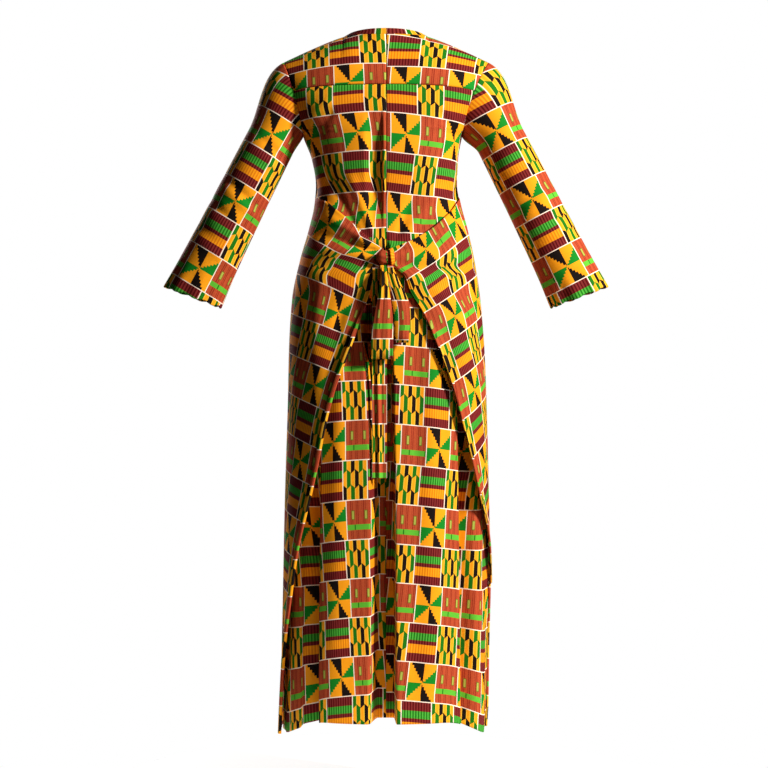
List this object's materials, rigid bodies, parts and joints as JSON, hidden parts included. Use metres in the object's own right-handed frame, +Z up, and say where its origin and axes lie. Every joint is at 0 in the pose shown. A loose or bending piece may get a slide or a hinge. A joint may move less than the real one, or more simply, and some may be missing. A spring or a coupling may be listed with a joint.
{
  "type": "dashiki dress",
  "caption": "Long-sleeved full-length dashiki dress in kente-print cotton, with a back yoke and a front that wraps to a hanging bow at the centre back.",
  "frame": {"origin": "between the shoulders at the base of the neck, where the wearer carries the dress", "axes": "+Z up along the wearer, +Y out of the wearer's back, so the front faces -Y, and +X towards the wearer's left"},
  "size_m": [0.863, 0.3069, 1.3734],
  "materials": {
    "kente_orange": "matt printed cotton",
    "kente_maroon": "matt printed cotton",
    "kente_green": "matt printed cotton"
  },
  "bodies": {
    "root": {"yoke_left": "kente_orange", "yoke_right": "kente_orange", "back_left": "kente_orange", "back_right": "kente_orange", "front_panel": "kente_orange", "sleeve_left": "kente_maroon", "sleeve_right": "kente_maroon", "neck_band": "kente_maroon", "bow_knot": "kente_green", "bow_loop_left": "kente_orange", "bow_loop_right": "kente_orange", "tie_tail": "kente_green"}
  },
  "joints": []
}
